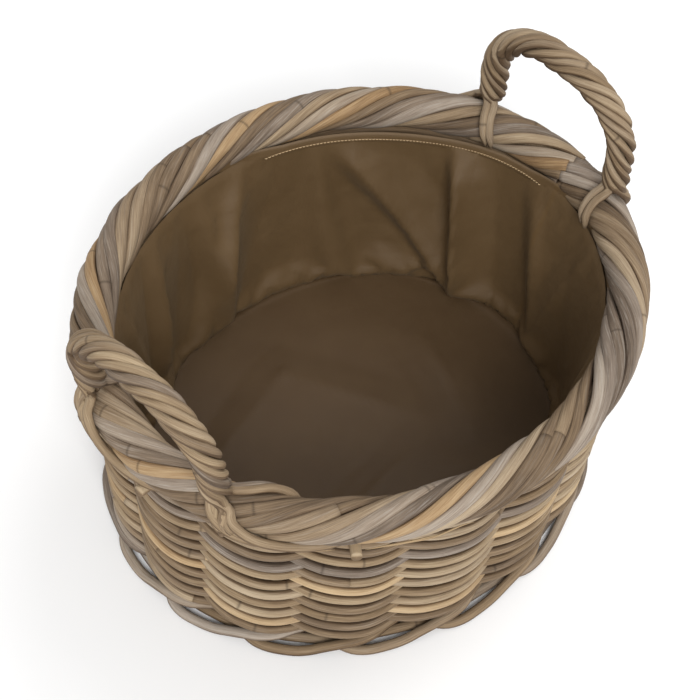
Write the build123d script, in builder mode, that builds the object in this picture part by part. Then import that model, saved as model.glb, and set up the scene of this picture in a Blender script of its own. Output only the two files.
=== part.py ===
"""Oval wicker log basket with a rolled rope border, two fixed arched handles and a sewn lining.

Millimetres. +X runs from handle to handle, +Z is up, and the origin is on the floor under the middle.
Every cane is a solid of its own, and its centre line is straight runs joined by tangent arcs.

Places are given by station, side step, outward offset and height. Sixteen stations count anticlockwise
from +X, seen from above, so station 4 is on +Y. On the wall they are counted from the first stake group
instead, so that whole stations lie on stakes and half stations midway between them.
"""

from build123d import *
from math import cos, hypot, pi, radians, sin, tan
import os

# Overall shape
RIM_LONG = 250.0  # half of the border's centre line, along X
RIM_HEIGHT = 246.0  # centre of the border above the floor
WALL_LONG_TOP = 246.0  # half of the stake ring, along X, at the border
WALL_LONG_FOOT = 233.0  # and at the floor
OVAL = 31.5  # every ring is this much narrower, in half width, along Y than along X

# Stakes
STATIONS = 16
FIRST_STAKE = 0.37  # the station, counted from +X, of the first stake group
STAKE_RADIUS = 5.0
STAKE_STEP = 10.1  # between neighbouring canes of a group
STAKE_BOTTOM = 24.0
STAKE_TOP = 224.8

# Wall weave
WEAVE_RADIUS = 4.45
WEAVE_ROWS = 11
ROW_PITCH = 18.2
FIRST_ROW = 33.0
WEAVE_OUT = STAKE_RADIUS + WEAVE_RADIUS + 0.25  # from the stakes to a weaver that passes them
FLAT_HALF = 17.5  # half of the straight run over a stake group
CROSS_HALF = 8.0  # half of the straight run where two weavers cross
CROSS_OUT = 2.9
CROSS_RISE = 4.6
END_GAP = 2.0  # between the two ends of a weaver, behind a stake group

# Foot border
FOOT_RADIUS = 5.0
FOOT_WEAR = 0.4  # depth of the worn flats that the basket stands on
FOOT_AXIS = FOOT_RADIUS - FOOT_WEAR
FOOT_TUCK = 17.6  # height at which a foot cane passes in under the wall
SPIGOT_TOP = 96.0
FOOT_LEAN = 3.0  # sideways step of a foot cane's upright part on its way down to the floor
# Where a foot cane goes along the floor: stations past its stakes, outward offset, height of its centre
FOOT_BOW = (
    (0.45, 0.0, FOOT_AXIS),
    (0.80, 1.5, FOOT_AXIS),
    (0.96, 5.5, FOOT_AXIS),
    (1.11, 14.5, FOOT_AXIS),
    (1.41, 15.5, FOOT_AXIS),
    (1.65, 13.8, FOOT_AXIS + 1.2),
    (1.80, 12.6, FOOT_AXIS + 6.6),
    (1.97, 11.6, FOOT_TUCK - 2.4),
    (2.14, 10.9, FOOT_TUCK - 0.4),
    (2.32, 6.6, FOOT_TUCK),
    (2.50, -2.0, FOOT_TUCK),
    (2.72, -9.0, FOOT_TUCK),
)

# Base
BASE_HEIGHT = 18.0
STICK_RADIUS = 5.0
STICK_STEP = 10.4
STICK_STRAIGHT_HALF = 30.0
STICK_PLACES = (-1.5, -0.5, 0.5, 1.5)  # four sticks each way, in steps from the middle
SPREAD_LONG = 80.0  # ring on which the base sticks have fanned out
STICK_END_LONG = 219.0
RING_RADIUS = 4.0
RINGS = 7
FIRST_RING_LONG = 104.0
RING_PITCH = 17.5
RING_RISE = STICK_RADIUS + RING_RADIUS + 0.25
RING_FLAT_HALF = 4.5
RING_CROSS_HALF = 2.5
RING_CROSS_OUT = 4.2
RING_CROSS_RISE = 2.4

# Rolled border
HOOP_RADIUS = 10.3
HOOP_CORNERS = 48
HOOP_END_GAP = 0.02  # in stations, left beside each of the hoop's two ends
RIM_CANES = 9
RIM_CANE_RADIUS = 4.65
RIM_ORBIT = 15.85  # corners of the wound route, about the hoop's centre
RIM_TURNS = 19 / 3  # turns in one lap, so that each lap lies beside the last
RIM_STEPS = 76
RIM_END_GAP = 0.001  # of a lap, left at each end of a cane
RIM_OUTER = RIM_ORBIT + RIM_CANE_RADIUS

# Handles
HANDLE_STATION = 0.3  # both handles sit a little anticlockwise of the oval's ends
HANDLE_OUT = -5.0  # from the border's centre line to the arch's plane, at its middle
HANDLE_HALF_WIDTH = 75.0
HANDLE_TOP = 383.0
HANDLE_CORNER = 66.0
HANDLE_FOOT = RIM_HEIGHT + RIM_OUTER + 0.8
CORE_RADIUS = 5.6
TWIST_CANES = 7
TWIST_RADIUS = 3.55
TWIST_ORBIT = 9.55
TWIST_PITCH = 118.0
TWIST_STEPS = 34
TIE_RADIUS = 3.6
TIE_ORBIT = RIM_OUTER + TIE_RADIUS + 1.2
TIE_STEP = TWIST_ORBIT + TWIST_RADIUS + TIE_RADIUS + 0.8
TIE_STATIONS = (-0.55, 1.145)  # beside the feet
TIE_FROM = -40.0  # degrees round the border, from straight out, up and over to the inside
TIE_TO = 190.0
TIE_BENDS = 8

# Lining
LINING_THICK = 1.2
LINING_FLOOR = 33.0
LINING_TOP = 236.0
LINING_LONG_FOOT = 213.0
LINING_LONG_TOP = 227.0
LINING_SLOPE = (LINING_LONG_TOP - LINING_LONG_FOOT) / (LINING_TOP - LINING_FLOOR)
LINING_GAP = 0.1
HEM_DEPTH = 10.0

# Cut rod ends under the border
PEG_RADIUS = 3.4
PEG_HEIGHT = 224.0
PEG_START = 11.0
PEG_LENGTH = 12.0
PEG_STATIONS = (8, 10)  # counted from the first stakes


# Places


def on_ring(long_half, station, side=0.0, out=0.0, z=0.0):
    """A point by its steps along an oval ring's tangent and outward normal at a station."""
    t = 2 * pi * station / STATIONS
    wide_half = long_half - OVAL
    slope = hypot(long_half * sin(t), wide_half * cos(t))
    tangent = Vector(-long_half * sin(t), wide_half * cos(t), 0) / slope
    normal = Vector(wide_half * cos(t), long_half * sin(t), 0) / slope
    return Vector(long_half * cos(t), wide_half * sin(t), z) + tangent * side + normal * out


def wall_point(station, side, out, z):
    """A point by its place on the tapering wall, with the station counted from the first stakes."""
    wall_long = WALL_LONG_FOOT + (WALL_LONG_TOP - WALL_LONG_FOOT) * z / RIM_HEIGHT
    return on_ring(wall_long, FIRST_STAKE + station, side, out, z)


def around_border(station, side, orbit, angle):
    """A point round the border, by radius and angle in radians from straight out, over the top."""
    return on_ring(RIM_LONG, station, side, orbit * cos(angle), RIM_HEIGHT + orbit * sin(angle))


# Canes


def bend_radii(points):
    """The largest radii that leave a straight piece between neighbouring arcs."""
    radii = []
    for before, corner, after in zip(points, points[1:], points[2:]):
        run_in = corner - before
        run_out = after - corner
        turn = radians(run_in.get_angle(run_out))
        radii.append(0.45 * min(run_in.length, run_out.length) / tan(turn / 2))
    return radii


def bent_cane(points, radius):
    """One round cane along straight runs and tangent arcs."""
    with BuildPart() as cane:
        with BuildLine() as route:
            FilletPolyline(*points, radius=bend_radii(points))
        with BuildSketch(Plane(route.line @ 0, z_dir=route.line % 0)):
            Circle(radius)
        sweep(clean=False)
    return cane.part


def straight_cane(start, end, radius):
    """One straight round cane."""
    with BuildPart() as cane:
        with BuildSketch(Plane(start, z_dir=end - start)):
            Circle(radius)
        extrude(amount=(end - start).length)
    return cane.part


def save(name, pieces, turn=0.0):
    """Write the separate pieces of one node to one file, turned about Z by an angle in degrees."""
    solids = []
    for piece in pieces:
        solids.extend(piece.rotate(Axis.Z, turn).solids())
    export_step(Compound(solids, label=name), f"parts/{name}.step")


# Wall


def stake_pair(station):
    """Two upright canes, side by side, that lean out with the wall."""
    canes = []
    for side in (-STAKE_STEP, 0.0):
        bottom = wall_point(station, side, 0, STAKE_BOTTOM)
        top = wall_point(station, side, 0, STAKE_TOP)
        canes.append(straight_cane(bottom, top, STAKE_RADIUS))
    return canes


def weaver(height, first_station):
    """One weaver, once round the wall: behind the stakes at its first station, then out over the next."""
    points = [wall_point(first_station, END_GAP / 2, -WEAVE_OUT, height)]
    for step in range(STATIONS):
        station = first_station + step
        crossing = station + 0.5
        out = -1 if step % 2 == 0 else 1
        dip = Vector(0, 0, -out * CROSS_RISE)  # it dips on its way in and rises on its way out
        if step > 0:
            points.append(wall_point(station, -FLAT_HALF, out * WEAVE_OUT, height))
        points.append(wall_point(station, FLAT_HALF, out * WEAVE_OUT, height))
        points.append(wall_point(crossing, -CROSS_HALF, out * CROSS_OUT, height) + dip)
        points.append(wall_point(crossing, CROSS_HALF, -out * CROSS_OUT, height) + dip)
    points.append(wall_point(first_station, -FLAT_HALF, -WEAVE_OUT, height))
    points.append(wall_point(first_station, -END_GAP / 2, -WEAVE_OUT, height))
    return bent_cane(points, WEAVE_RADIUS)


# Foot and base


def foot_cane(station):
    """A cane from beside its stakes, down, along behind one foot cane, out over the next, and back in."""
    points = [
        wall_point(station, STAKE_STEP, 0, SPIGOT_TOP),
        wall_point(station, STAKE_STEP, 0, STAKE_BOTTOM),
        wall_point(station, STAKE_STEP + FOOT_LEAN, 0, FOOT_AXIS),
    ]
    points += [wall_point(station + bays, 0, out, height) for bays, out, height in FOOT_BOW]
    with BuildPart() as cane:
        add(bent_cane(points, FOOT_RADIUS))
        split(bisect_by=Plane.XY, keep=Keep.TOP)
    return cane.part


def base_stick(station, far_station, near, far, height):
    """A base stick: straight between two points at the middle, and fanned out to the wall at both ends."""
    points = [
        on_ring(STICK_END_LONG, station, z=BASE_HEIGHT),
        on_ring(SPREAD_LONG, station, z=BASE_HEIGHT),
        Vector(*near, height),
        Vector(*far, height),
        on_ring(SPREAD_LONG, far_station, z=BASE_HEIGHT),
        on_ring(STICK_END_LONG, far_station, z=BASE_HEIGHT),
    ]
    return bent_cane(points, STICK_RADIUS)


def base_sticks_along_x():
    """The lower four base sticks."""
    sticks = []
    for index in STICK_PLACES:
        y = index * STICK_STEP
        near = (STICK_STRAIGHT_HALF, y)
        far = (-STICK_STRAIGHT_HALF, y)
        height = BASE_HEIGHT - STICK_STEP / 2
        sticks.append(base_stick(index, STATIONS / 2 - index, near, far, height))
    return sticks


def base_sticks_along_y():
    """The upper four base sticks."""
    sticks = []
    for index in STICK_PLACES:
        x = -index * STICK_STEP
        near = (x, STICK_STRAIGHT_HALF)
        far = (x, -STICK_STRAIGHT_HALF)
        height = BASE_HEIGHT + STICK_STEP / 2
        sticks.append(base_stick(STATIONS / 4 + index, -STATIONS / 4 - index, near, far, height))
    return sticks


def base_weaver(long_half, first_stick):
    """One weaver, once round the base, over one base stick and under the next."""
    start = first_stick + 0.5
    points = [on_ring(long_half, start, END_GAP / 2, 0, BASE_HEIGHT + RING_RISE)]
    for step in range(STATIONS):
        station = start + step
        rise = 1 if step % 2 == 0 else -1
        crossing = station + 0.5
        if step > 0:
            points.append(on_ring(long_half, station, -RING_FLAT_HALF, 0, BASE_HEIGHT + rise * RING_RISE))
        points.append(on_ring(long_half, station, RING_FLAT_HALF, 0, BASE_HEIGHT + rise * RING_RISE))
        for end in (-1, 1):
            height = BASE_HEIGHT - end * rise * RING_CROSS_RISE
            points.append(on_ring(long_half, crossing, end * RING_CROSS_HALF, rise * RING_CROSS_OUT, height))
    points.append(on_ring(long_half, start, -RING_FLAT_HALF, 0, BASE_HEIGHT + RING_RISE))
    points.append(on_ring(long_half, start, -END_GAP / 2, 0, BASE_HEIGHT + RING_RISE))
    return bent_cane(points, RING_RADIUS)


# Border


def rim_hoop():
    """A thick cane bent once round, with its ends butted together."""
    inner = [STATIONS * corner / HOOP_CORNERS for corner in range(1, HOOP_CORNERS)]
    stations = [HOOP_END_GAP] + inner + [STATIONS - HOOP_END_GAP]
    return bent_cane([on_ring(RIM_LONG, station, z=RIM_HEIGHT) for station in stations], HOOP_RADIUS)


def rim_cane(index):
    """One lap of a cane wound round the hoop."""
    points = []
    for step in range(RIM_STEPS + 1):
        lap = RIM_END_GAP + (1 - 2 * RIM_END_GAP) * step / RIM_STEPS
        angle = 2 * pi * (RIM_TURNS * lap + index / RIM_CANES)
        points.append(around_border(STATIONS * lap, 0, RIM_ORBIT, angle))
    return bent_cane(points, RIM_CANE_RADIUS)


def border_peg(station):
    """A cut rod end that pokes out between the border and the top row."""
    start = wall_point(station, 0, PEG_START, PEG_HEIGHT)
    end = wall_point(station, 0, PEG_START + PEG_LENGTH, PEG_HEIGHT)
    return straight_cane(start, end, PEG_RADIUS)


# Handles, made for the +X end


def handle_corners():
    """Corners of the arch that a handle's core follows."""
    return [
        on_ring(RIM_LONG, HANDLE_STATION, side, HANDLE_OUT, height)
        for side, height in (
            (-HANDLE_HALF_WIDTH, HANDLE_FOOT),
            (-HANDLE_HALF_WIDTH, HANDLE_TOP),
            (HANDLE_HALF_WIDTH, HANDLE_TOP),
            (HANDLE_HALF_WIDTH, HANDLE_FOOT),
        )
    ]


def handle_core():
    """The bent rod inside a handle."""
    with BuildPart() as core:
        with BuildLine() as arch:
            FilletPolyline(*handle_corners(), radius=HANDLE_CORNER)
        with BuildSketch(Plane(arch.line @ 0, z_dir=arch.line % 0)):
            Circle(CORE_RADIUS)
        sweep(clean=False)
    return core.part


def handle_twist(index):
    """One of the canes twisted round a handle's core, from one foot to the other."""
    with BuildLine() as arch:
        FilletPolyline(*handle_corners(), radius=HANDLE_CORNER)
    route = Wire(arch.line.edges())
    outward = on_ring(RIM_LONG, HANDLE_STATION, out=1.0) - on_ring(RIM_LONG, HANDLE_STATION)
    points = []
    for step in range(TWIST_STEPS + 1):
        along = step / TWIST_STEPS
        angle = 2 * pi * (route.length * along / TWIST_PITCH + index / TWIST_CANES)
        across = (route % along).cross(outward)
        points.append(route @ along + (outward * cos(angle) + across * sin(angle)) * TWIST_ORBIT)
    return bent_cane(points, TWIST_RADIUS)


def handle_tie(station, side):
    """A short cane that straps the border down beside a handle's foot."""
    points = []
    for bend in range(TIE_BENDS + 1):
        angle = radians(TIE_FROM + (TIE_TO - TIE_FROM) * bend / TIE_BENDS)
        points.append(around_border(station, side * TIE_STEP, TIE_ORBIT, angle))
    return bent_cane(points, TIE_RADIUS)


# Lining


def tapered_band(bottom, top, inset):
    """A thin oval band that follows the lining's slope, set in from its outside."""
    with BuildPart() as band:
        for shrink, mode in ((inset, Mode.ADD), (inset + LINING_THICK, Mode.SUBTRACT)):
            for z in (bottom, top):
                long_half = LINING_LONG_FOOT + LINING_SLOPE * (z - LINING_FLOOR) - shrink
                with BuildSketch(Plane.XY.offset(z)):
                    Ellipse(long_half, long_half - OVAL)
            loft(mode=mode)
    return band.part


def lining_floor():
    """The flat panel that closes the lining."""
    long_half = LINING_LONG_FOOT - LINING_THICK - LINING_GAP
    with BuildPart() as panel:
        with BuildSketch(Plane.XY.offset(LINING_FLOOR)):
            Ellipse(long_half, long_half - OVAL)
        extrude(amount=LINING_THICK)
    return panel.part


# Write every node

os.makedirs("parts", exist_ok=True)

for station in range(STATIONS):
    save(f"stake_pair_{station + 1:02d}", stake_pair(station))

for row in range(WEAVE_ROWS):
    row_height = FIRST_ROW + row * ROW_PITCH
    save(f"weave_row_{row + 1:02d}", [weaver(row_height, 0), weaver(row_height, 1)])

save("foot_border", [foot_cane(station) for station in range(STATIONS)])

save("base_sticks_lower", base_sticks_along_x())
save("base_sticks_upper", base_sticks_along_y())
ring_longs = [FIRST_RING_LONG + ring * RING_PITCH for ring in range(RINGS)]
save("base_weave", [base_weaver(long_half, first) for long_half in ring_longs for first in (0, 1)])

save("rim_hoop", [rim_hoop()])
for index in range(RIM_CANES):
    save(f"rim_cane_{index + 1}", [rim_cane(index)])
save("border_pegs", [border_peg(station) for station in PEG_STATIONS])

core = handle_core()
twists = [handle_twist(index) for index in range(TWIST_CANES)]
ties = [handle_tie(station, side) for station in TIE_STATIONS for side in (-1, 1)]
for end, turn in (("right", 0.0), ("left", 180.0)):
    save(f"handle_core_{end}", [core], turn)
    save(f"handle_twist_{end}", twists, turn)
    save(f"handle_ties_{end}", ties, turn)

save("lining_wall", [tapered_band(LINING_FLOOR, LINING_TOP, 0)])
save("lining_floor", [lining_floor()])
save("lining_hem", [tapered_band(LINING_TOP - HEM_DEPTH, LINING_TOP, LINING_THICK + LINING_GAP)])
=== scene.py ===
"""Looks of an oval wicker log basket: woven canes, rope border, handles and a slack sewn lining."""

import bpy
import functools
import numpy as np
from mathutils import Matrix, Vector


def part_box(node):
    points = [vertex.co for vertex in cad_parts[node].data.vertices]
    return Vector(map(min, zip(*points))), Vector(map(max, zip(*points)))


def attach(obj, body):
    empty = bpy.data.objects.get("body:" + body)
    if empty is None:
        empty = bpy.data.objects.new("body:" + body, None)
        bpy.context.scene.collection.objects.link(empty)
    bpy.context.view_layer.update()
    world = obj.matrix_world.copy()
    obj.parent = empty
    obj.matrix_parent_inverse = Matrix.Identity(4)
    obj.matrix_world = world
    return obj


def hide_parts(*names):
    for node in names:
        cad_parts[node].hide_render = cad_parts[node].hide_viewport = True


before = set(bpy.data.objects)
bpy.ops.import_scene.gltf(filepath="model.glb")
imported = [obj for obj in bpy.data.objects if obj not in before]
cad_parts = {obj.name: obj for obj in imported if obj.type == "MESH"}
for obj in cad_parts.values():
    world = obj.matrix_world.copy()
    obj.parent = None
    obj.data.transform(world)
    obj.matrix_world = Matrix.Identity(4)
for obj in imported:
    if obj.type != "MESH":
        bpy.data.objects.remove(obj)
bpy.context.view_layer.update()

# Places round the basket are counted in stations, the spaces between stake groups, anticlockwise from +X.
MM = 0.001
STATIONS = 16
FIRST_STAKE = 0.37
HANDLE_STATION = 0.3
ROWS = 11


# Sizes, read from the frame


@functools.cache
def box_of(node):
    """Lowest and highest corners of a node."""
    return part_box(node)


def half_sizes(node):
    """Half length, half width, lowest and highest point of a node."""
    low, high = box_of(node)
    return (high.x - low.x) / 2, (high.y - low.y) / 2, low.z, high.z


hoop_long, hoop_wide, hoop_low, hoop_high = half_sizes("rim_hoop")
HOOP_RADIUS = (hoop_high - hoop_low) / 2
RIM_LONG = hoop_long - HOOP_RADIUS
RIM_HEIGHT = (hoop_high + hoop_low) / 2
OVAL = hoop_long - hoop_wide
WEAVE_RADIUS = 4.45 * MM
WEAVE_OUT = 9.7 * MM
FOOT_RADIUS = 5.0 * MM
WALL_AROUND = 1.45


def row_height(row):
    """Middle of a weave row."""
    low, high = box_of(f"weave_row_{row + 1:02d}")
    return (low.z + high.z) / 2


def wall_long(z):
    """Half length of the stake ring at a height."""
    bottom = half_sizes("weave_row_01")[0] - WEAVE_OUT - WEAVE_RADIUS
    top = half_sizes(f"weave_row_{ROWS}")[0] - WEAVE_OUT - WEAVE_RADIUS
    low, high = row_height(0), row_height(ROWS - 1)
    return bottom + (top - bottom) * (z - low) / (high - low)


def on_ring(long_half, station, side=0.0, out=0.0, z=0.0):
    """Points by their steps along an oval ring's tangent and outward normal, as an array."""
    station, long_half, side, out, z = np.broadcast_arrays(station, long_half, side, out, z)
    t = 2 * np.pi * station / STATIONS
    wide_half = long_half - OVAL
    slope = np.hypot(long_half * np.sin(t), wide_half * np.cos(t))
    tangent = np.stack([-long_half * np.sin(t), wide_half * np.cos(t), 0 * t], -1) / slope[..., None]
    normal = np.stack([wide_half * np.cos(t), long_half * np.sin(t), 0 * t], -1) / slope[..., None]
    centre = np.stack([long_half * np.cos(t), wide_half * np.sin(t), z], -1)
    return centre + tangent * side[..., None] + normal * out[..., None]


def around_border(station, orbit, angle):
    """Points round the border, by radius and angle in radians from straight out, over the top."""
    return on_ring(RIM_LONG, station, 0, orbit * np.cos(angle), RIM_HEIGHT + orbit * np.sin(angle))


# Curves and canes


def smooth(points, per_span=10):
    """A smooth curve through given points."""
    p = np.asarray(points, float)
    p = np.vstack([2 * p[0] - p[1], p, 2 * p[-1] - p[-2]])
    t = np.linspace(0, 1, per_span, endpoint=False)[:, None]
    spans = []
    for a, b, c, d in zip(p, p[1:], p[2:], p[3:]):
        square = 2 * a - 5 * b + 4 * c - d
        cube = 3 * b - a - 3 * c + d
        spans.append(0.5 * (2 * b + (c - a) * t + square * t**2 + cube * t**3))
    return np.vstack(spans + [p[-2:-1]])


def wander(rng, x, scale, length):
    """Smooth random drift along x, of about scale in size and length in wavelength."""
    total = np.zeros_like(x)
    for _ in range(4):
        wave = length * rng.uniform(0.5, 1.6)
        total += np.sin(2 * np.pi * x / wave + rng.uniform(0, 2 * np.pi))
    return total * scale / 2


KNOT_FIRST = (0.02, 0.45)
KNOT_APART = (0.18, 0.60)
KNOT_SAMPLES = (-0.004, -0.002, -0.0008, 0.0, 0.0008, 0.002, 0.004)
KNOT_LINE = 0.0011
KNOT_SWELL = 0.07
KNOT_SPREAD = 0.004
KNOT_CLEAR = 0.006
CLOSEST_RINGS = 0.0004
TAPER = 0.02


class Bundle:
    """Gathers canes into one mesh, with what their material needs to know about each point."""

    def __init__(self):
        self.points = []
        self.faces = []
        self.grain = []
        self.look = []
        self.count = 0

    def cane(
        self, rng, route, radius, look, ups=None, sides=12, flat=1.0, spacing=0.0045, knots=True, ends=(1, 1)
    ):
        """A cane along a route, with swollen knots, flattened in the direction of ups.

        look is (tone, grey, gold), and ends are the shares of the full thickness at the two ends.
        """
        route = np.asarray(route, float)
        step = np.linalg.norm(np.diff(route, axis=0), axis=1)
        along = np.concatenate([[0], np.cumsum(step)])
        length = along[-1]
        places = list(np.linspace(0, length, max(3, int(length / spacing))))
        knot_places = []
        if knots:
            at = rng.uniform(*KNOT_FIRST)
            while at < length - KNOT_CLEAR:
                knot_places.append(at)
                places += [at + sample for sample in KNOT_SAMPLES]
                at += rng.uniform(*KNOT_APART)
        places = np.array(sorted(p for p in places if 0 <= p <= length))
        places = places[np.concatenate([[True], np.diff(places) > CLOSEST_RINGS])]
        centre = np.stack([np.interp(places, along, route[:, i]) for i in range(3)], -1)
        tangent = np.gradient(centre, places, axis=0)
        tangent /= np.linalg.norm(tangent, axis=1)[:, None]
        if ups is None:
            up = np.tile([0.0, 0.0, 1.0], (len(places), 1))
        else:
            up = np.stack([np.interp(places, along, np.asarray(ups)[:, i]) for i in range(3)], -1)
        up = up - tangent * np.sum(up * tangent, 1)[:, None]
        up /= np.linalg.norm(up, axis=1)[:, None]
        across = np.cross(tangent, up)
        size = radius * (1 + wander(rng, places, 0.035, 0.15))
        knot = np.zeros(len(places))
        for at in knot_places:
            knot = np.maximum(knot, np.exp(-((places - at) / KNOT_LINE) ** 2))
            size = size * (1 + KNOT_SWELL * np.exp(-((places - at) / KNOT_SPREAD) ** 2))
        grow = np.minimum(1, np.minimum(ends[0] + places / TAPER, ends[1] + (length - places) / TAPER))
        size = size * grow
        turn = 2 * np.pi * np.arange(sides) / sides
        section = (
            up[:, None, :] * (np.cos(turn) * flat)[None, :, None]
            + across[:, None, :] * (np.sin(turn) / np.sqrt(flat))[None, :, None]
        )
        rings = centre[:, None, :] + section * size[:, None, None]
        n = len(places)
        base = self.count
        index = base + np.arange(n * sides).reshape(n, sides)
        quads = np.stack(
            [index[:-1], np.roll(index[:-1], -1, 1), np.roll(index[1:], -1, 1), index[1:]], -1
        ).reshape(-1, 4)
        self.points.append(rings.reshape(-1, 3))
        self.faces += [tuple(q) for q in quads.tolist()]
        self.faces.append(tuple(index[0][::-1].tolist()))
        self.faces.append(tuple(index[-1].tolist()))
        offset = rng.uniform(0, 50)
        grain = np.zeros((n, sides, 3))
        grain[..., 0] = np.cos(turn)[None, :]
        grain[..., 1] = np.sin(turn)[None, :]
        grain[..., 2] = (places + offset)[:, None]
        self.grain.append(grain.reshape(-1, 3))
        looks = np.zeros((n, sides, 4))
        looks[..., :3] = np.asarray(look)
        looks[..., 3] = knot[:, None]
        self.look.append(looks.reshape(-1, 4))
        self.count += n * sides

    def make(self, name, material, nodes):
        """The finished object, standing for its CAD nodes."""
        mesh = bpy.data.meshes.new(name)
        mesh.from_pydata(np.vstack(self.points).tolist(), [], self.faces)
        grain = mesh.attributes.new("grain", "FLOAT_VECTOR", "POINT")
        grain.data.foreach_set("vector", np.vstack(self.grain).ravel())
        look = mesh.attributes.new("look", "FLOAT_COLOR", "POINT")
        look.data.foreach_set("color", np.vstack(self.look).ravel())
        mesh.materials.append(material)
        mesh.polygons.foreach_set("use_smooth", [True] * len(mesh.polygons))
        mesh.update()
        piece = bpy.data.objects.new(name, mesh)
        bpy.context.collection.objects.link(piece)
        settle(piece, nodes)
        return piece


def settle(piece, nodes=()):
    """The piece rides on the basket and hides the CAD nodes it stands for, if any."""
    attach(piece, "root")
    if nodes:
        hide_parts(*nodes)


def random_look(rng, grey, gold):
    """Tone, greyness and goldenness of one cane, where grey and gold are the shares of such canes."""
    return (
        rng.uniform(0.0, 1.0),
        rng.uniform(0.55, 1.0) if rng.random() < grey else rng.uniform(0.0, 0.25),
        rng.uniform(0.4, 1.0) if rng.random() < gold else 0.0,
    )


# Materials


class Nodes:
    """A short way to write a node tree."""

    def __init__(self, name):
        self.material = bpy.data.materials.new(name)
        self.material.use_nodes = True
        self.tree = self.material.node_tree
        self.tree.nodes.clear()
        self.out = self.tree.nodes.new("ShaderNodeOutputMaterial")
        self.shader = self.tree.nodes.new("ShaderNodeBsdfPrincipled")
        self.tree.links.new(self.shader.outputs[0], self.out.inputs[0])

    def add(self, kind, **settings):
        node = self.tree.nodes.new(kind)
        for key, value in settings.items():
            setattr(node, key, value)
        return node

    def put(self, value, socket):
        if isinstance(value, bpy.types.NodeSocket):
            self.tree.links.new(value, socket)
        else:
            socket.default_value = value

    def maths(self, operation, a, b=0.0):
        node = self.add("ShaderNodeMath", operation=operation)
        self.put(a, node.inputs[0])
        self.put(b, node.inputs[1])
        return node.outputs[0]

    def vector(self, operation, a, b):
        node = self.add("ShaderNodeVectorMath", operation=operation)
        self.put(a, node.inputs[0])
        self.put(b, node.inputs[1])
        return node.outputs[0]

    def mix(self, factor, a, b, blend="MIX"):
        node = self.add("ShaderNodeMix", data_type="RGBA", blend_type=blend)
        self.put(factor, node.inputs["Factor"])
        self.put(a, node.inputs["A"])
        self.put(b, node.inputs["B"])
        return node.outputs["Result"]

    def noise(self, vector, scale, detail=3.0, roughness=0.55):
        node = self.add("ShaderNodeTexNoise")
        self.put(vector, node.inputs["Vector"])
        node.inputs["Scale"].default_value = scale
        node.inputs["Detail"].default_value = detail
        node.inputs["Roughness"].default_value = roughness
        return node.outputs["Fac"]

    def ramp(self, factor, stops):
        node = self.add("ShaderNodeValToRGB")
        self.put(factor, node.inputs[0])
        elements = node.color_ramp.elements
        while len(elements) < len(stops):
            elements.new(0.5)
        for element, (position, colour) in zip(elements, stops):
            element.position = position
            element.color = colour if len(colour) == 4 else (*colour, 1)
        return node.outputs[0]

    def bump(self, height, distance, strength=1.0, normal=None):
        node = self.add("ShaderNodeBump")
        node.inputs["Distance"].default_value = distance
        node.inputs["Strength"].default_value = strength
        self.put(height, node.inputs["Height"])
        if normal is not None:
            self.put(normal, node.inputs["Normal"])
        return node.outputs[0]


def grey_steps(low, high):
    """Two stops from black to white."""
    return [(low, (0, 0, 0)), (high, (1, 1, 1))]


BROWN_STOPS = [
    (0.10, (0.080, 0.049, 0.026)),
    (0.38, (0.180, 0.118, 0.064)),
    (0.64, (0.288, 0.203, 0.117)),
    (0.94, (0.450, 0.345, 0.220)),
]
PALE_STOPS = [(0.12, (0.105, 0.078, 0.058)), (0.5, (0.225, 0.177, 0.138)), (0.9, (0.395, 0.335, 0.275))]
HONEY_STOPS = [(0.15, (0.155, 0.086, 0.036)), (0.5, (0.335, 0.212, 0.104)), (0.9, (0.540, 0.395, 0.230))]
# Painted shade: these stops darken the side of each cane that faces away from its up direction.
UNDERSIDE_SHADE_STOPS = [(0.0, (0.42, 0.36, 0.31)), (0.34, (0.84, 0.81, 0.78)), (0.60, (1.0, 1.0, 1.0))]
BLOOM_COLOUR = (0.46, 0.42, 0.37, 1)
PORE_COLOUR = (0.07, 0.045, 0.03, 1)
KNOT_COLOUR = (0.03, 0.018, 0.01, 1)


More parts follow.
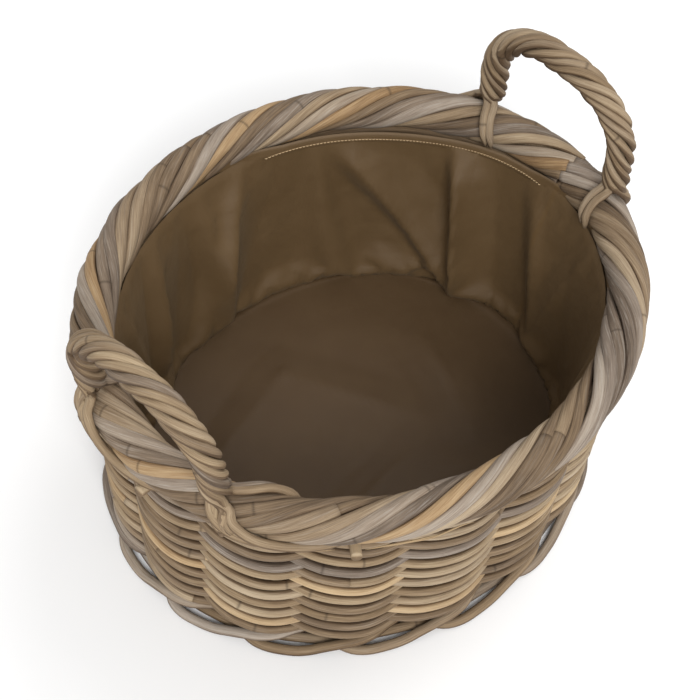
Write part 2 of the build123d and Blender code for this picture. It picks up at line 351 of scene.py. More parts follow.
def cane_material(name, from_mesh=True, tone_shift=0.0):
    """Weathered rattan: colour by cane, streaks along the grain, grey bloom, dark knots and pores, and
    painted shade on the side of each cane turned away from its up direction.

    The grain and look come from the mesh, or from the place where a CAD node is carried over.
    """
    n = Nodes(name)
    if from_mesh:
        grain = n.add("ShaderNodeAttribute", attribute_name="grain").outputs["Vector"]
        look = n.add("ShaderNodeAttribute", attribute_name="look")
        split = n.add("ShaderNodeSeparateColor")
        n.put(look.outputs["Color"], split.inputs[0])
        tone, grey, gold = split.outputs[0], split.outputs[1], split.outputs[2]
        knot = look.outputs["Alpha"]
    else:
        grain = n.vector("MULTIPLY", n.add("ShaderNodeTexCoord").outputs["Object"], (150.0, 150.0, 4.0))
        tone = n.noise(n.add("ShaderNodeTexCoord").outputs["Object"], 14.0, 1.0)
        grey, gold, knot = 0.15, 0.0, 0.0
    fine = n.vector("MULTIPLY", grain, (4.0, 4.0, 22.0))
    streak = n.noise(fine, 1.6, 5.0, 0.65)
    broad = n.noise(n.vector("MULTIPLY", grain, (0.6, 0.6, 9.0)), 1.0, 3.0, 0.6)
    speck = n.noise(n.vector("MULTIPLY", grain, (5.0, 5.0, 260.0)), 1.3, 3.0, 0.7)
    shade = n.maths("ADD", n.maths("MULTIPLY", tone, 0.42), n.maths("MULTIPLY", broad, 0.70))
    shade = n.maths("ADD", shade, n.maths("MULTIPLY", n.maths("SUBTRACT", streak, 0.5), 1.05))
    shade = n.maths("ADD", shade, tone_shift)
    weathered = n.mix(grey, n.ramp(shade, BROWN_STOPS), n.ramp(shade, PALE_STOPS))
    colour = n.mix(gold, weathered, n.ramp(shade, HONEY_STOPS))
    patches = n.noise(n.vector("MULTIPLY", grain, (2.2, 2.2, 16.0)), 1.7, 4.0, 0.7)
    bloom = n.ramp(patches, grey_steps(0.52, 0.72))
    bloom_share = n.maths("ADD", n.maths("MULTIPLY", grey, 0.55), 0.10)
    colour = n.mix(n.maths("MULTIPLY", bloom, bloom_share), colour, BLOOM_COLOUR)
    pores = n.ramp(speck, grey_steps(0.62, 0.80))
    colour = n.mix(n.maths("MULTIPLY", pores, 0.45), colour, PORE_COLOUR)
    colour = n.mix(n.maths("MULTIPLY", knot, 0.55), colour, KNOT_COLOUR)
    if from_mesh:
        # Painted shade: each cane is darkened on the side turned away from its up direction, its underside
        # or its inner side against the stakes and the hoop, broken up by the streaks.
        facing = n.add("ShaderNodeSeparateXYZ")
        n.put(grain, facing.inputs[0])
        uneven = n.maths("MULTIPLY", n.maths("SUBTRACT", streak, 0.5), 0.9)
        underside_shade = n.ramp(n.maths("ADD", facing.outputs[0], uneven), UNDERSIDE_SHADE_STOPS)
        colour = n.mix(1.0, colour, underside_shade, "MULTIPLY")
    n.put(colour, n.shader.inputs["Base Color"])
    n.put(n.maths("ADD", 0.62, n.maths("MULTIPLY", streak, 0.3)), n.shader.inputs["Roughness"])
    n.shader.inputs["Specular IOR Level"].default_value = 0.32
    height = n.maths("ADD", streak, n.maths("MULTIPLY", speck, 0.5))
    n.put(n.bump(height, 0.0007, 0.7), n.shader.inputs["Normal"])
    return n.material


THREAD_PITCH = 0.0011
WEAVE_SHADOW = (0.04, 0.025, 0.01, 1)


def lining_material(name, dark, light):
    """Coated woven nylon: a fine plain weave with a slight sheen and cloudy wear from dark to light."""
    n = Nodes(name)
    place = n.add("ShaderNodeTexCoord").outputs["UV"]
    split = n.add("ShaderNodeSeparateXYZ")
    n.put(place, split.inputs[0])
    threads = 2 * np.pi / THREAD_PITCH
    warp = n.maths("SINE", n.maths("MULTIPLY", split.outputs[0], threads))
    weft = n.maths("SINE", n.maths("MULTIPLY", split.outputs[1], threads))
    cell = n.maths("MULTIPLY", warp, weft)
    cloud = n.noise(place, 24.0, 5.0, 0.6)
    base = n.mix(cloud, dark, light)
    raised = n.maths("ADD", 0.5, n.maths("MULTIPLY", cell, 0.5))
    base = n.mix(raised, n.mix(0.28, base, WEAVE_SHADOW), base)
    n.put(base, n.shader.inputs["Base Color"])
    n.put(n.maths("ADD", 0.40, n.maths("MULTIPLY", cloud, 0.18)), n.shader.inputs["Roughness"])
    n.shader.inputs["Sheen Weight"].default_value = 0.06
    n.shader.inputs["Sheen Roughness"].default_value = 0.45
    n.shader.inputs["Sheen Tint"].default_value = (0.75, 0.66, 0.5, 1)
    n.shader.inputs["Specular IOR Level"].default_value = 0.42
    fine = n.bump(cell, 0.00012, 0.8)
    n.put(n.bump(cloud, 0.0015, 0.35, fine), n.shader.inputs["Normal"])
    return n.material


def thread_material(name):
    """Pale waxed thread."""
    n = Nodes(name)
    twist = n.noise(n.add("ShaderNodeTexCoord").outputs["Object"], 900.0, 2.0)
    n.put(n.mix(twist, (0.45, 0.30, 0.15, 1), (0.70, 0.52, 0.32, 1)), n.shader.inputs["Base Color"])
    n.shader.inputs["Roughness"].default_value = 0.6
    n.put(n.bump(twist, 0.0002), n.shader.inputs["Normal"])
    return n.material


weave_look = cane_material("weave_rattan")
rim_look = cane_material("rim_rattan", tone_shift=-0.07)
handle_look = cane_material("handle_rattan", tone_shift=-0.02)
cut_look = cane_material("cut_rattan", tone_shift=0.35)
sliver_look = cane_material("split_rattan", tone_shift=0.15)
frame_look = cane_material("frame_rattan", from_mesh=False, tone_shift=-0.12)
cloth_look = lining_material("lining_nylon", (0.108, 0.062, 0.024, 1), (0.158, 0.097, 0.042, 1))
# The bottom panel uses a darker copy of the side's nylon: painted shade for the floor inside the basket.
shaded_floor_look = lining_material("lining_floor_nylon_painted_shade", (0.084, 0.046, 0.019, 1), (0.118, 0.070, 0.030, 1))
thread_look = thread_material("lining_thread")


# Camera, floor and light


CAMERA_DISTANCE = 1.781
CAMERA_SENSOR = 36.0
CAMERA_LENS = 102.857
AIM_LEFT = 12.5 * MM
AIM_DOWN = 45.95 * MM


def make_camera():
    """The camera stands above the front, a little left of the handles' line, and is slightly rolled."""
    azimuth, elevation, roll = np.radians([-43.0, 53.0, 5.5])
    right = Vector((np.cos(azimuth), np.sin(azimuth), 0))
    level = np.cos(elevation)
    back = Vector((np.sin(azimuth) * level, -np.cos(azimuth) * level, np.sin(elevation)))
    up = back.cross(right)
    target = Vector((0, 0, RIM_HEIGHT))
    rolled_right = right * np.cos(roll) + up * np.sin(roll)
    rolled_up = up * np.cos(roll) - right * np.sin(roll)
    place = target + back * CAMERA_DISTANCE
    aim = target - rolled_right * AIM_LEFT - rolled_up * AIM_DOWN
    ahead = (aim - place).normalized()
    side = ahead.cross(rolled_up).normalized()
    top = side.cross(ahead)
    turn = Matrix((side, top, -ahead)).transposed()
    data = bpy.data.cameras.new("camera")
    data.sensor_width = CAMERA_SENSOR
    data.lens = CAMERA_LENS
    data.clip_start = 0.05
    camera = bpy.data.objects.new("camera", data)
    bpy.context.collection.objects.link(camera)
    camera.matrix_world = Matrix.Translation(place) @ turn.to_4x4()
    bpy.context.scene.camera = camera


def make_light(name, place, softness, strength):
    """A soft distant light that shines from the side that place is on."""
    data = bpy.data.lights.new(name, "SUN")
    data.angle = np.radians(softness)
    data.energy = strength
    light = bpy.data.objects.new(name, data)
    bpy.context.collection.objects.link(light)
    light.rotation_euler = Vector(place).to_track_quat("Z", "Y").to_euler()


FLOOR_HALF = 30.0


def make_studio():
    """Pale floor, white surroundings and soft lights."""
    mesh = bpy.data.meshes.new("floor")
    half = FLOOR_HALF
    corners = [(-half, -half, 0), (half, -half, 0), (half, half, 0), (-half, half, 0)]
    mesh.from_pydata(corners, [], [(0, 1, 2, 3)])
    floor = bpy.data.objects.new("floor", mesh)
    bpy.context.collection.objects.link(floor)
    n = Nodes("floor_paper")
    n.shader.inputs["Base Color"].default_value = (0.93, 0.93, 0.93, 1)
    n.shader.inputs["Roughness"].default_value = 0.9
    n.shader.inputs["Specular IOR Level"].default_value = 0.1
    mesh.materials.append(n.material)
    world = bpy.data.worlds.new("studio")
    world.use_nodes = True
    world.node_tree.nodes["Background"].inputs[0].default_value = (1, 1, 1, 1)
    world.node_tree.nodes["Background"].inputs[1].default_value = 0.60
    bpy.context.scene.world = world
    make_light("key", (-0.9, -1.4, 1.6), 26.0, 2.3)
    make_light("top", (0.9, 0.1, 1.4), 35.0, 0.8)
    bpy.context.scene.view_settings.view_transform = "Standard"


make_camera()
make_studio()


# Wall, foot and carried-over frame


WEAVER_STEPS = 24
WEAVER_LIFT = 4.6 * MM
WEAVER_BLUNT = 0.18


def weaver_route(rng, row, first):
    """One weaver of a row: over one stake group and behind the next, rising on its way out."""
    step = np.linspace(0, STATIONS, STATIONS * WEAVER_STEPS + 1)
    station = FIRST_STAKE + first + step
    wave = -np.cos(np.pi * step)
    rise = np.sin(np.pi * step)
    out = WEAVE_OUT * wave * (1 + WEAVER_BLUNT - WEAVER_BLUNT * wave**2)
    lift = WEAVER_LIFT * np.sign(rise) * np.abs(rise) ** 0.85
    x = station / STATIONS * WALL_AROUND
    height = row_height(row) + lift + wander(rng, x, 0.7 * MM, 0.5)
    out = out * (1 + wander(rng, x, 0.05, 0.4))
    route = on_ring(wall_long(row_height(row)), station, 0, out, height)
    ups = on_ring(1.0, station, 0, 1.0, 0) - on_ring(1.0, station, 0, 0, 0)
    return route, ups


GREY_ROWS = (7, 8, 9)
GOLD_ROWS = (4, 5)


def row_look(rng, row):
    """Rows near the top are greyer, one band is golden, the rest are mixed."""
    if row in GREY_ROWS:
        return random_look(rng, 0.60, 0.0)
    if row in GOLD_ROWS:
        return random_look(rng, 0.10, 0.45)
    return random_look(rng, 0.18, 0.06)


def make_weave():
    """Each row's two weavers, each of a few canes joined end to end."""
    for row in range(ROWS):
        rng = np.random.default_rng(100 + row)
        bundle = Bundle()
        for first in (0, 1):
            route, ups = weaver_route(rng, row, first)
            cuts = [int(len(route) * (third + rng.uniform(0.08, 0.25))) for third in (0.0, 0.33, 0.67)]
            for start, end in zip([0] + cuts, cuts + [len(route) - 1]):
                radius = WEAVE_RADIUS * rng.uniform(0.93, 1.03)
                bundle.cane(rng, route[start : end + 1], radius, row_look(rng, row), ups[start : end + 1])
        name = f"weave_row_{row + 1:02d}"
        bundle.make(f"woven_{name[6:]}", weave_look, [name])


# A foot cane's bends: stations past its stakes, mm out from the stakes' ring, share of its sway, mm high.
FOOT_BENDS = (
    (0.12, 0.0, 0, 60.0),
    (0.12, 0.0, 0, 24.0),
    (0.16, 0.3, 0, 8.0),
    (0.45, 0.0, 0, 4.9),
    (0.80, 1.5, 0, 4.9),
    (0.96, 6.0, 0, 4.9),
    (1.11, 12.5, 1, 4.9),
    (1.28, 15.0, 1, 4.9),
    (1.50, 14.6, 0, 4.9),
    (1.66, 13.4, 0, 6.2),
    (1.80, 12.4, 0, 10.6),
    (1.97, 11.7, 0, 15.0),
    (2.14, 10.8, 0, 17.2),
    (2.32, 6.6, 0, 17.8),
    (2.50, -2.0, 0, 17.8),
    (2.72, -9.0, 0, 17.8),
)


def make_foot():
    """Foot canes: down beside the stakes, along behind the next one, out over the one after, and back in."""
    rng = np.random.default_rng(7)
    bundle = Bundle()
    axis = FOOT_RADIUS + 0.2 * MM
    for stake in range(STATIONS):
        sway = rng.uniform(-1.0, 1.0)
        first = FIRST_STAKE + stake
        points = [
            on_ring(wall_long(z * MM), first + past, 0, (out + sway * share) * MM, z * MM)
            for past, out, share, z in FOOT_BENDS
        ]
        route = smooth(points)
        route[:, 2] = np.maximum(route[:, 2], axis)
        bundle.cane(rng, route, FOOT_RADIUS * 0.97, random_look(rng, 0.30, 0.0), sides=14, ends=(1, 0.7))
    bundle.make("foot_canes", weave_look, ["foot_border"])


def keep_frame_nodes():
    """The hidden canes keep their CAD shape and take the weathered finish."""
    kept = [f"stake_pair_{i + 1:02d}" for i in range(STATIONS)]
    kept += ["base_sticks_lower", "base_sticks_upper", "base_weave", "rim_hoop"]
    for name in kept:
        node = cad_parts[name]
        node.data.materials.clear()
        node.data.materials.append(frame_look)


make_weave()
make_foot()
keep_frame_nodes()


# Border


RIM_STRANDS = 3
STRAND_CANES = 3
RIM_TURNS = 19 / 3
RIM_STEPS = 700
RIM_PHASE_STEP = 0.099
RIM_ORBIT = 15.7 * MM
MIDDLE_RAISED = 0.5 * MM
SIDES_LOWERED = -0.7 * MM
RIM_CANE_RADIUS = 5.2 * MM


def make_border():
    """Canes wound round the hoop in three strands of three, slightly flattened and uneven."""
    for index in range(RIM_STRANDS * STRAND_CANES):
        rng = np.random.default_rng(300 + index)
        bundle = Bundle()
        lap = np.linspace(0, 1, RIM_STEPS)
        station = STATIONS * lap
        strand, place = divmod(index, STRAND_CANES)
        phase = 2 * np.pi * (strand / RIM_STRANDS + (place - 1) * RIM_PHASE_STEP)
        angle = 2 * np.pi * RIM_TURNS * lap + phase + wander(rng, lap, 0.06, 0.10)
        middle = RIM_ORBIT + (MIDDLE_RAISED if place == 1 else SIDES_LOWERED)
        orbit = middle + wander(rng, lap, 0.5 * MM, 0.08)
        route = around_border(station, orbit, angle)
        ups = route - around_border(station, 0 * lap, angle)
        cuts = [int(RIM_STEPS * rng.uniform(0.15, 0.45)), int(RIM_STEPS * rng.uniform(0.55, 0.88))]
        for start, end in zip([0] + cuts, cuts + [RIM_STEPS - 1]):
            look = random_look(rng, 0.30, 0.05)
            radius = RIM_CANE_RADIUS * rng.uniform(0.93, 1.08)
            part = slice(start, end + 1)
            bundle.cane(rng, route[part], radius, look, ups[part], sides=14, flat=0.82)
        bundle.make(f"border_cane_{index + 1}", rim_look, [f"rim_cane_{index + 1}"])


make_border()


# Handles


CORE_RADIUS = 5.6 * MM
HANDLE_CORNER = 66.0 * MM
CORNER_STEPS = 24
ARCH_STEPS = 500
TWIST_CANES = 7
TWIST_PITCH = 0.106
TWIST_ORBIT = 9.3 * MM
TWIST_RADIUS = 4.05 * MM
FOOT_APART = 0.86
FOOT_SPREAD = 0.09
INNER_SIDE = -0.60
CLEAR_OF_FEET = range(24, 480, 6)
TIE_ONWARD = 0.09
TIE_ORBIT = 25.5 * MM
TIE_RADIUS = 3.3 * MM
TIE_ANGLES = (40.0, 20.0, 0.0, -18.0)
FINE_RINGS = 0.001


def arch_route(end, lean):
    """A handle core's line from its clockwise foot to the other, its outward direction and its station."""
    low, high = box_of(f"handle_core_{end}")
    station = HANDLE_STATION if end == "right" else HANDLE_STATION + STATIONS / 2
    outward = on_ring(RIM_LONG, station, 0, 1.0) - on_ring(RIM_LONG, station)
    along = np.cross([0.0, 0.0, 1.0], outward)
    middle = np.array([(low.x + high.x) / 2, (low.y + high.y) / 2, low.z])
    half = ((high.y - low.y) / 2 - CORE_RADIUS) / abs(along[1])
    height = high.z - CORE_RADIUS - low.z
    turn = np.linspace(0, np.pi / 2, CORNER_STEPS)
    corner_side = half - HANDLE_CORNER + HANDLE_CORNER * np.cos(turn)
    corner_rise = height - HANDLE_CORNER + HANDLE_CORNER * np.sin(turn)
    side = np.concatenate([[-half], -corner_side, corner_side[::-1], [half]])
    rise = np.concatenate([[0.0], corner_rise, corner_rise[::-1], [0.0]])
    upward = np.array([0, 0, np.cos(lean)]) + outward * np.sin(lean)
    corners = middle + side[:, None] * along + rise[:, None] * upward
    step = np.concatenate([[0], np.cumsum(np.linalg.norm(np.diff(corners, axis=0), axis=1))])
    s = np.linspace(0, step[-1], ARCH_STEPS)
    route = np.stack([np.interp(s, step, corners[:, i]) for i in range(3)], -1)
    return s, route, np.cross(along, upward), station


# Tails of the twisted canes past a foot: stations onward, orbit in mm, degrees round the border.
TAIL_OUT = ((0.03, 27.0, 52), (0.10, 25.3, 22), (0.30, 24.4, -12), (0.62, 23.0, -34), (1.00, 19.0, -50))
TAIL_SHORT = ((0.02, 26.0, 50), (0.05, 24.6, 20), (0.10, 23.6, -10), (0.18, 20.0, -40))
TAIL_IN = ((0.00, 28.0, 88), (-0.03, 25.4, 122), (-0.08, 24.6, 155), (-0.13, 23.6, 188))
TAIL_IN_SWEPT = ((0.06, 27.0, 84), (0.20, 25.0, 98), (0.40, 24.4, 124), (0.58, 21.0, 150), (0.70, 15.5, 172))


def tail_of(end, foot, index, facing):
    """Where a twisted cane goes past a foot, by the side of the core that it comes down on."""
    if np.cos(facing) >= INNER_SIDE:
        return TAIL_OUT if index % 2 else TAIL_SHORT
    return TAIL_IN_SWEPT if (end, foot) == ("left", 1) else TAIL_IN


def make_handle(end, lean):
    """Canes twisted round the core, whose ends part at each foot to both sides of the border."""
    s, route, outward, middle = arch_route(end, lean)
    tangent = np.gradient(route, s, axis=0)
    across = np.cross(tangent, outward)
    bundle = Bundle()
    rng = np.random.default_rng(41 if end == "right" else 42)
    bundle.cane(rng, route, CORE_RADIUS, random_look(rng, 0, 0), knots=False)
    for index in range(TWIST_CANES):
        rng = np.random.default_rng((500 if end == "right" else 600) + index)
        angle = -2 * np.pi * (s / TWIST_PITCH + index / TWIST_CANES) + wander(rng, s, 0.10, 0.12)
        orbit = TWIST_ORBIT + wander(rng, s, 0.45 * MM, 0.08)
        line = route + (outward * np.cos(angle)[:, None] + across * np.sin(angle)[:, None]) * orbit[:, None]
        tails = []
        for foot, facing in ((-1, angle[0]), (1, angle[-1])):
            start = middle + foot * FOOT_APART - np.sin(facing) * FOOT_SPREAD * foot
            tail = tail_of(end, foot, index, facing)
            tails.append([around_border(start + on, orb * MM, np.radians(turn)) for on, orb, turn in tail])
        points = tails[0][::-1] + [line[i] for i in CLEAR_OF_FEET] + tails[1]
        tone, grey, gold = random_look(rng, 0.15, 0.06)
        look = (tone * 0.7 + 0.25, grey, gold)
        radius = TWIST_RADIUS * rng.uniform(0.92, 1.08)
        bundle.cane(rng, smooth(points, 6), radius, look, sides=12, flat=0.95, ends=(0.45, 0.45))
    for foot in (-1, 1):
        points = around_border(middle + foot * FOOT_APART + TIE_ONWARD, TIE_ORBIT, np.radians(TIE_ANGLES))
        bundle.cane(rng, points, TIE_RADIUS, (0.9, 0.1, 0.2), knots=False, spacing=FINE_RINGS)
    nodes = [f"handle_core_{end}", f"handle_twist_{end}", f"handle_ties_{end}"]
    bundle.make(f"handle_canes_{end}", handle_look, nodes)


make_handle("right", np.radians(-3.0))
make_handle("left", np.radians(9.0))


BENT_TOPS_AT = ((238.5, 225.5), (247.0, 222.5))
BENT_TOP_RADIUS = 4.2 * MM


def make_bent_tops():
    """The stakes' bent-over tops, two dark lines that close the gap between the wall and the border."""
    rng = np.random.default_rng(12)
    bundle = Bundle()
    station = np.linspace(0, STATIONS, 400)
    for long_half, z in BENT_TOPS_AT:
        points = on_ring(long_half * MM, station, 0, wander(rng, station, 0.4 * MM, 3.0), z * MM)
        bundle.cane(rng, points, BENT_TOP_RADIUS, (0.15, 0.0, 0.0), knots=False)
    bundle.make("bent_tops", rim_look, [])


make_bent_tops()


PEG_STATIONS = (FIRST_STAKE + 8, FIRST_STAKE + 10)
PEG_REACH = np.array([11.0, 16.0, 22.0, 28.0]) * MM
PEG_RISE = 0.2
PEG_HEIGHT = 222.0 * MM
PEG_RADIUS = 5.1 * MM


def make_pegs():
    """Cut rod ends that poke out under the border."""
    rng = np.random.default_rng(11)
    bundle = Bundle()
    for station in PEG_STATIONS:
        z = PEG_HEIGHT + (PEG_REACH - PEG_REACH[0]) * PEG_RISE
        points = on_ring(wall_long(PEG_HEIGHT), station, 0, PEG_REACH, z)
        look = (1.0, 0.1, 0.2)
        bundle.cane(rng, points, PEG_RADIUS, look, knots=False, spacing=FINE_RINGS, ends=(1, 0.98))
    bundle.make("cut_ends", cut_look, ["border_pegs"])


make_pegs()


SLIVER_SPANS = ((7.75, 8.25), (9.35, 10.2), (9.5, 10.05), (10.45, 11.1), (10.6, 11.4))
SLIVER_OUT = 15.5 * MM
SLIVER_HEIGHT = 227.0 * MM
SLIVER_RADIUS = 0.75 * MM


def make_slivers():
    """Loose strips of split cane that stick out between the border and the top row."""
    rng = np.random.default_rng(13)
    bundle = Bundle()
    for first, last in SLIVER_SPANS:
        station = np.linspace(first, last, 24)
        lift = wander(rng, station, 1.0 * MM, 0.6)
        points = on_ring(RIM_LONG, station, 0, SLIVER_OUT + 0.6 * lift, SLIVER_HEIGHT - lift)
        look = (0.8, 0.0, 1.0)
        bundle.cane(rng, points, SLIVER_RADIUS, look, sides=6, flat=0.6, knots=False, ends=(0.2, 0.2))
    bundle.make("split_slivers", sliver_look, [])


make_slivers()


# Lining: its edge shows in an open stretch at the far right, and is tucked under the border elsewhere.


WALL_LOW = box_of("lining_wall")[0].z
WALL_HIGH = box_of("lining_wall")[1].z + 4.0 * MM
WALL_DEPTH = WALL_HIGH - WALL_LOW
WALL_COLUMNS = 264
WALL_ROWS = 44
CUT_ROUND = 2 * np.pi * (RIM_LONG - 0.04)
OPEN_MIDDLE = 1.9
OPEN_HALF = 1.5
OPEN_FADE = 0.8
PULL_MIDDLE = 2.0
EDGE_PULL = 7.0 * MM
EDGE_SHARE = 0.12
EDGE_OUT = 2.0 * MM
TUCK_OUT = 3.6 * MM
TUCK_DOWN = 4.0 * MM
LINING_OUT = 1.3 * MM


def round_gap(station, middle):
    """Stations from the middle of a stretch, the short way round."""
    return (station - middle + STATIONS / 2) % STATIONS - STATIONS / 2


def lining_long(z):
    """Half length of the lining's outside at a height, flared at the top to lie against the border."""
    low, high = box_of("lining_wall")
    top = (high.x - low.x) / 2
    bottom = half_sizes("lining_floor")[0] + LINING_OUT
    return bottom + (top - bottom) * (z - low.z) / (high.z - low.z)


def tucked(station):
    """One where the lining's edge is tucked up under the border, and nought in the open stretch."""
    return np.clip((np.abs(round_gap(station, OPEN_MIDDLE)) - OPEN_HALF) / OPEN_FADE, 0, 1)


def lining_point(station, level, inward=0.0):
    """Points on the lining's side, with the level running from nought at the floor to one at the edge."""
    station, level, inward = np.broadcast_arrays(station, level, inward)
    tuck = tucked(station)
    z = WALL_LOW + (WALL_HIGH - TUCK_DOWN * tuck - WALL_LOW) * level
    near_edge = np.clip((level - 1 + EDGE_SHARE) / EDGE_SHARE, 0, 1) ** 2
    pull = edge_pull(station) * np.clip(level * 1.6 - 0.6, 0, 1) ** 1.5
    out = (EDGE_OUT + TUCK_OUT * tuck) * near_edge - pull
    return on_ring(lining_long(z), station, 0, out - inward, z)


def edge_pull(station):
    """How far the lining's top edge is drawn in from the border, at the far right."""
    return EDGE_PULL * np.exp(-(round_gap(station, PULL_MIDDLE) ** 2))


def grid_mesh(name, points, uv, closed, material):
    """A quad mesh from an array of points, rows by columns, with its flat cut as UVs in metres."""
    rows, columns = points.shape[:2]
    index = np.arange(rows * columns).reshape(rows, columns)
    right = np.roll(index, -1, 1) if closed else index[:, 1:]
    left = index if closed else index[:, :-1]
    quads = np.stack([left[:-1], right[:-1], right[1:], left[1:]], -1).reshape(-1, 4)
    mesh = bpy.data.meshes.new(name)
    mesh.from_pydata(points.reshape(-1, 3).tolist(), [], quads.tolist())
    layer = mesh.uv_layers.new(name="cut")
    flat = uv.reshape(-1, 2)
    loops = np.empty(len(mesh.loops), int)
    mesh.loops.foreach_get("vertex_index", loops)
    values = flat[loops].copy()
    if closed:
        length = flat[:, 0].max()
        per_face = values.reshape(-1, 4, 2)
        seam = np.ptp(per_face[:, :, 0], axis=1) > length / 2
        wrap = per_face[seam]
        wrap[:, :, 0] += length * (wrap[:, :, 0] < length / 2)
        per_face[seam] = wrap
        values = per_face.reshape(-1, 2)
    layer.data.foreach_set("uv", values.ravel())
    mesh.materials.append(material)
    mesh.polygons.foreach_set("use_smooth", [True] * len(mesh.polygons))
    piece = bpy.data.objects.new(name, mesh)
    bpy.context.collection.objects.link(piece)
    return piece


def collider(name, points, closed):
    """A hidden surface that the cloth may not pass, facing the cloth."""
    wall = grid_mesh(name, points, np.zeros(points.shape[:2] + (2,)), closed, None)
    wall.data.materials.clear()
    wall.modifiers.new("collision", "COLLISION")
    wall.collision.thickness_outer = 0.001
    wall.collision.thickness_inner = 0.03
    wall.collision.cloth_friction = 10.0
    wall.collision.use_normal = True
    wall.collision.use_culling = False
    return wall


def drape(piece, pins, spare, frames, stiffness):
    """Runs the cloth simulation on a piece, held at the points in pins, and keeps the shape.

    spare is the share by which the cloth is larger than its place.
    """
    group = piece.vertex_groups.new(name="pins")
    group.add([int(index) for index in pins], 1.0, "REPLACE")
    cloth = piece.modifiers.new("cloth", "CLOTH")
    settings = cloth.settings
    settings.quality = 6
    settings.mass = 0.25
    settings.air_damping = 2.0
    settings.tension_stiffness = 25.0
    settings.compression_stiffness = 25.0
    settings.shear_stiffness = 12.0
    settings.bending_stiffness = stiffness
    settings.shrink_min = -spare
    settings.shrink_max = -spare
    settings.vertex_group_mass = "pins"
    cloth.collision_settings.distance_min = 0.0015
    cloth.collision_settings.collision_quality = 3
    cloth.point_cache.frame_start = 1
    cloth.point_cache.frame_end = frames
    for step in range(1, frames + 1):
        bpy.context.scene.frame_set(step)
    shape = piece.evaluated_get(bpy.context.evaluated_depsgraph_get()).data
    places = np.empty(len(shape.vertices) * 3)
    shape.vertices.foreach_get("co", places)
    piece.modifiers.remove(cloth)
    piece.data.vertices.foreach_set("co", places)
    piece.data.update()
    piece.vertex_groups.clear()
    bpy.context.scene.frame_set(1)


def crease(piece, offset):
    """Adds folds to a draped piece, as an offset of each of its points."""
    places = np.empty(len(piece.data.vertices) * 3)
    piece.data.vertices.foreach_get("co", places)
    piece.data.vertices.foreach_set("co", places + offset.ravel())
    piece.data.update()


# Folds of the side: station at the top, lean in stations from top to bottom, width in stations, depth in mm.
WALL_FOLDS = (
    (6.3, -0.3, 0.36, 16.0),
    (5.3, 0.5, 0.24, 20.0),
    (4.5, -0.2, 0.28, 15.0),
    (3.9, 0.9, 0.24, 14.0),
    (2.9, -1.9, 0.30, 22.0),
    (1.35, -0.4, 0.20, 30.0),
    (0.2, -0.7, 0.34, 16.0),
    (15.0, 0.6, 0.40, 12.0),
    (12.6, -0.6, 0.45, 10.0),
    (9.8, 0.6, 0.45, 10.0),
    (7.7, -0.4, 0.38, 14.0),
)


WALL_SLACK = 0.6
WALL_CREASE = 0.55
SEAM_LIFT = 0.8 * MM
WALL_GUARD_LEVELS = np.array([1.12, 0.97, 0.85, 0.5, -0.1])
WALL_GUARD_INWARD = -2.6 * MM
STEEP_SIDE = 0.9
SHALLOW_SIDE = 2.4


def wall_folds(station, level):
    """How far the folds stand in from the wall: flat facets, steep on one side, that meet in a crease."""
    inward = np.zeros((WALL_ROWS, WALL_COLUMNS))
    for at, lean, width, depth in WALL_FOLDS:
        gap = round_gap(station, at + lean * (1 - level))
        slope = np.where(gap > 0, gap / (STEEP_SIDE * width), -gap / (SHALLOW_SIDE * width))
        swell = np.sin(np.pi * (1 - level) * 0.85 + 0.25)
        inward += depth * MM * np.clip(1 - slope, 0, 1) * swell
    return inward * np.clip((1 - level) * 6, 0, 1)


def make_lining_wall():
    """The lining's side: hung from its hem, slack enough to fold, and held to the floor's seam."""
    rng = np.random.default_rng(21)
    station = np.arange(WALL_COLUMNS)[None, :] * STATIONS / WALL_COLUMNS
    level = np.linspace(1, 0, WALL_ROWS)[:, None]
    inward = wall_folds(station, level)
    slack = WALL_SLACK * inward + rng.normal(0, 0.25 * MM, inward.shape)
    points = lining_point(station, level, 1.0 * MM + slack)
    points[-1, :, 2] += SEAM_LIFT
    uv = np.stack(np.broadcast_arrays(CUT_ROUND * station / STATIONS, WALL_DEPTH * level), -1)
    piece = grid_mesh("lining_side", points, uv, True, cloth_look)
    shell = lining_point(station[:, ::2], WALL_GUARD_LEVELS[:, None], WALL_GUARD_INWARD)
    wall = collider("wall_guard", shell, True)
    top = range(WALL_COLUMNS * 2)
    bottom = range((WALL_ROWS - 1) * WALL_COLUMNS, WALL_ROWS * WALL_COLUMNS)
    drape(piece, [*top, *bottom], spare=0.02, frames=26, stiffness=30.0)
    bpy.data.objects.remove(wall)
    fold = WALL_CREASE * inward * np.clip(level * 9, 0, 1)
    crease(piece, lining_point(station, level, fold) - lining_point(station, level))
    return piece


# Creases of the bottom: middle x and y, turn in degrees, length and width in metres, height in mm.
FLOOR_FOLDS = (
    (-0.09, 0.06, 20.0, 0.09, 0.030, 8.0),
    (0.02, 0.03, -55.0, 0.10, 0.035, 9.0),
    (0.11, -0.01, 75.0, 0.07, 0.028, 7.0),
    (-0.03, -0.07, 10.0, 0.08, 0.030, 8.0),
    (0.06, -0.10, -30.0, 0.06, 0.024, 6.0),
    (-0.14, -0.04, 60.0, 0.06, 0.026, 6.0),
)


FLOOR_ROWS = 72
FLOOR_CLEAR = 1.2 * MM
FLOOR_CREASE = 0.8
FLOOR_SHALLOW_SIDE = 2.2
GUARD_HALF = 0.4


def floor_folds(x, y):
    """Height of the bottom's creases, steep on one side."""
    total = np.zeros_like(x)
    for at_x, at_y, turn, length, width, height in FLOOR_FOLDS:
        cosine, sine = np.cos(np.radians(turn)), np.sin(np.radians(turn))
        along = (x - at_x) * cosine + (y - at_y) * sine
        beside = (y - at_y) * cosine - (x - at_x) * sine
        slope = np.where(beside > 0, beside / width, -beside / (FLOOR_SHALLOW_SIDE * width))
        total += height * MM * np.clip(1 - slope, 0, 1) * np.exp(-((along / length) ** 2))
    return total


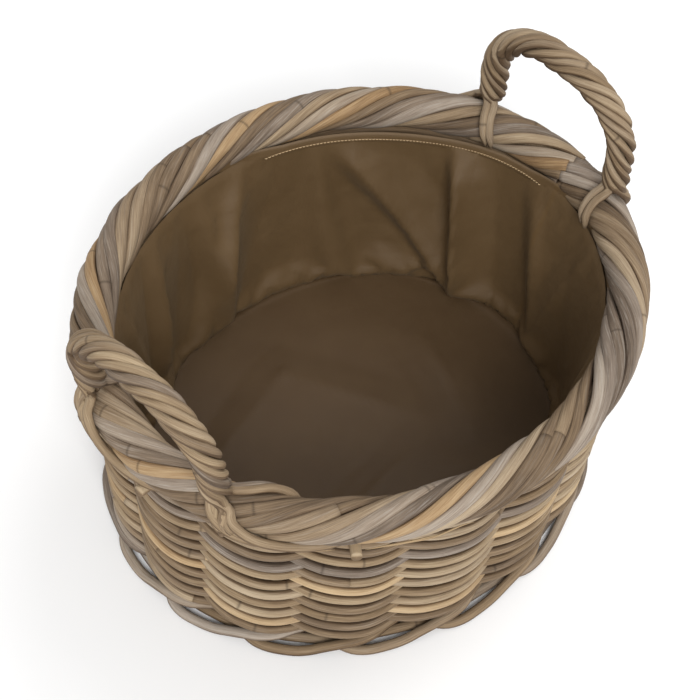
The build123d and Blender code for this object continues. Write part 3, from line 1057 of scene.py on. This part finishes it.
def make_lining_floor():
    """The lining's bottom panel: a slack oval with a few broad creases."""
    rng = np.random.default_rng(22)
    across, along = np.meshgrid(np.linspace(-1, 1, FLOOR_ROWS), np.linspace(-1, 1, FLOOR_ROWS))
    disc_x = across * np.sqrt(1 - along**2 / 2)
    disc_y = along * np.sqrt(1 - across**2 / 2)
    long_half = lining_long(WALL_LOW) - FLOOR_CLEAR
    x = disc_x * long_half
    y = disc_y * (long_half - OVAL)
    reach = np.hypot(disc_x, disc_y)
    lift = 1.2 * MM + wander(rng, x * 0.9 + y * 0.5, 1.2 * MM, 0.30) + floor_folds(x, y)
    lift = np.abs(lift) * np.clip(2.6 * (1 - reach), 0, 1)
    points = np.stack([x, y, WALL_LOW + SEAM_LIFT + lift], -1)
    piece = grid_mesh("lining_bottom", points, np.stack([x, y], -1), False, shaded_floor_look)
    side = np.array([-GUARD_HALF, GUARD_HALF])
    corners = np.dstack([*np.meshgrid(side, side), np.full((2, 2), WALL_LOW + 0.2 * MM)])
    ground = collider("floor_guard", corners, False)
    drape(piece, np.flatnonzero(reach.ravel() > 0.995), spare=0.004, frames=16, stiffness=40.0)
    bpy.data.objects.remove(ground)
    crease(piece, np.stack([0 * x, 0 * x, FLOOR_CREASE * lift], -1))
    return piece


lining_side = make_lining_wall()
lining_bottom = make_lining_floor()
settle(lining_side, ["lining_wall"])
settle(lining_bottom, ["lining_floor"])


HEM_DROPS = np.array([0.0, 0.5, 1.0, 2.0, 4.0, 7.0, 9.0, 10.0, 10.4, 10.0]) * MM
HEM_INSETS = np.array([0.0, 0.9, 1.4, 1.8, 1.9, 1.9, 1.9, 1.7, 1.1, 0.3]) * MM
HEM_TUCK_UP = 10.4 * MM
HEM_TUCK_OUT = 3.0 * MM


def make_hem():
    """The folded top edge, a second layer laid over the side's first centimetre."""
    station = np.arange(WALL_COLUMNS) * STATIONS / WALL_COLUMNS
    rng = np.random.default_rng(23)
    sway = wander(rng, station, 0.25 * MM, 2.0)
    lift = HEM_TUCK_UP * tucked(station)
    inset_by = 0.8 * MM + sway - HEM_TUCK_OUT * tucked(station)
    rings = [
        lining_point(station, 1 - (drop - lift) / WALL_DEPTH, inset + inset_by)
        for drop, inset in zip(HEM_DROPS, HEM_INSETS)
    ]
    around = CUT_ROUND * station / STATIONS
    uv = np.stack(np.broadcast_arrays(around[None, :], HEM_DROPS[:, None]), -1)
    hem = grid_mesh("lining_hem_fold", np.array(rings), uv, True, cloth_look)
    settle(hem, ["lining_hem"])
    return hem


STITCHES = 400
STITCH_DROP = 6.6 * MM
STITCH_INSETS = np.array([2.4, 3.2, 3.45, 3.2, 2.4]) * MM
STITCH_RADIUS = 0.42 * MM


def make_stitches():
    """A line of pale stitches along the hem, where the hem shows."""
    rng = np.random.default_rng(24)
    bundle = Bundle()
    for index in range(STITCHES):
        station = (index + np.linspace(-0.35, 0.35, 5)) / STITCHES * STATIONS
        if tucked(station).max() > 0.3:
            continue
        points = lining_point(station, 1 - STITCH_DROP / WALL_DEPTH, STITCH_INSETS)
        bundle.cane(rng, points, STITCH_RADIUS, (0.5, 0, 0), sides=6, knots=False, spacing=0.0008)
    return bundle.make("hem_stitches", thread_look, [])


hem = make_hem()
stitches = make_stitches()
